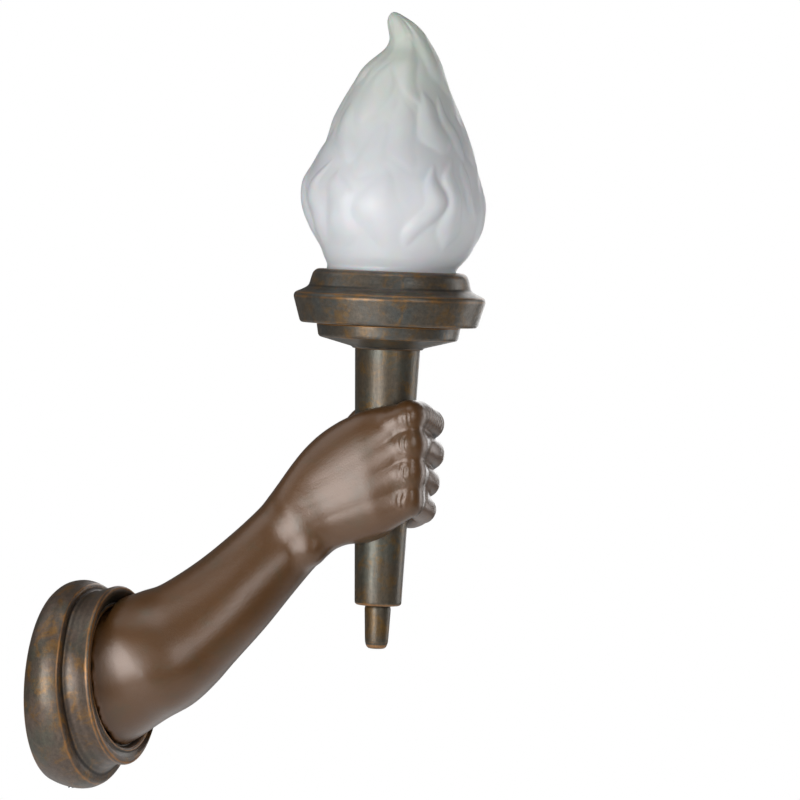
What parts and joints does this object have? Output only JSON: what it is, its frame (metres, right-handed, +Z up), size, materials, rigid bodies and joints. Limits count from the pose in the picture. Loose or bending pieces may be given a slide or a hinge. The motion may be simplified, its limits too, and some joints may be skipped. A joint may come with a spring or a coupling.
{
  "type": "torch sconce",
  "caption": "Wall sconce: a bronze forearm comes out of a round wall rose and grips a torch with a frosted glass flame.",
  "frame": {"origin": "middle of the wall rose's back, on the wall plane, halfway between the two wall screws", "axes": "+Y points into the wall and the sconce stands out along -Y; +Z is up along the torch; +X is the sconce's right, seen from the room"},
  "size_m": [0.2217, 0.239, 0.505],
  "materials": {
    "brown_patina": "brown patinated bronze, waxed",
    "green_patina": "green-brown patinated bronze, edges rubbed to copper",
    "frosted_glass": "acid-frosted moulded glass",
    "opal_glass": "opal glass",
    "zinc_steel": "bright zinc plate",
    "lamp_brass": "bright brass",
    "cap_nickel": "nickel-plated",
    "black_rubber": "matt",
    "white_plastic": "moulded",
    "holder_plastic": "moulded thermoset",
    "lead_sleeve": "sleeved flex",
    "earth_sleeve": "green and yellow sleeve"
  },
  "bodies": {
    "fixture": {"wall_bracket": "zinc_steel", "lock_screw": "zinc_steel", "earth_screw": "lamp_brass", "terminal_block": "white_plastic", "terminal_screws": "lamp_brass", "earth_wire": "earth_sleeve", "wall_rose": "green_patina", "arm_screws": "zinc_steel", "arm_washers": "zinc_steel", "wire_grommet": "black_rubber", "arm": "brown_patina", "lamp_lead": "lead_sleeve", "torch_stem": "green_patina", "torch_finial": "green_patina", "centre_rod": "zinc_steel", "torch_cup": "green_patina", "rod_washer": "zinc_steel", "rod_nut": "zinc_steel", "shade_gasket": "black_rubber", "holder_cap": "holder_plastic", "holder_insert": "white_plastic", "holder_body": "holder_plastic", "screw_shell": "lamp_brass", "centre_contact": "lamp_brass"},
    "bulb": {"bulb_cap": "cap_nickel", "bulb_contact": "lamp_brass", "bulb_glass": "opal_glass", "bulb_stem": "opal_glass"},
    "shade": {"flame_shade": "frosted_glass"}
  },
  "joints": [
    {"name": "shade_lift", "type": "slide", "parent": "fixture", "child": "shade", "axis": [0, 0, 1], "range_m": [0, 0.13]},
    {"name": "bulb_unscrew", "type": "slide", "parent": "fixture", "child": "bulb", "axis": [0, 0, 1], "range_m": [0, 0.025]}
  ]
}
